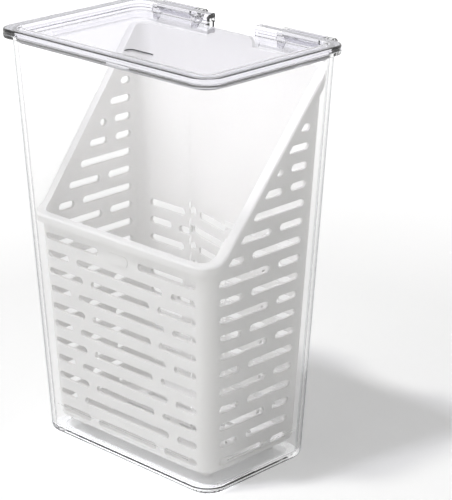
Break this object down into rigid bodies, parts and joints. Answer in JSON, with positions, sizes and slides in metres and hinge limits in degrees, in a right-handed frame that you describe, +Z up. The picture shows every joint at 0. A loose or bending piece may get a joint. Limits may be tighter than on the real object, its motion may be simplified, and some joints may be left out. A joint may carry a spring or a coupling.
{
  "type": "herb keeper",
  "caption": "Upright clear box with a white slotted basket that stands inside, low at the front and tall at the back, and a clear lid hinged along the back edge.",
  "frame": {"origin": "centre of the object's overall width and depth, on the face that the box stands on", "axes": "+Z up; -Y towards the low side of the basket and the lid's free edge; +X to the right seen from the front"},
  "size_m": [0.15, 0.1058, 0.2199],
  "materials": {
    "clear_plastic": "clear, polished",
    "white_plastic": "satin, slightly translucent",
    "clear_lid_plastic": "clear, polished"
  },
  "bodies": {
    "container": {"outer_container": "clear_plastic"},
    "basket": {"slotted_basket": "white_plastic", "lift_tab": "white_plastic"},
    "lid": {"hinged_lid": "clear_lid_plastic"}
  },
  "joints": [
    {"name": "lid_hinge", "type": "hinge", "parent": "container", "child": "lid", "pos_m": [0, 0.0497, 0.2162], "axis": [-1, 0, 0], "range_deg": [0, 110]},
    {"name": "basket_lift", "type": "slide", "parent": "container", "child": "basket", "axis": [0, 0, 1], "range_m": [0, 0.005]}
  ]
}
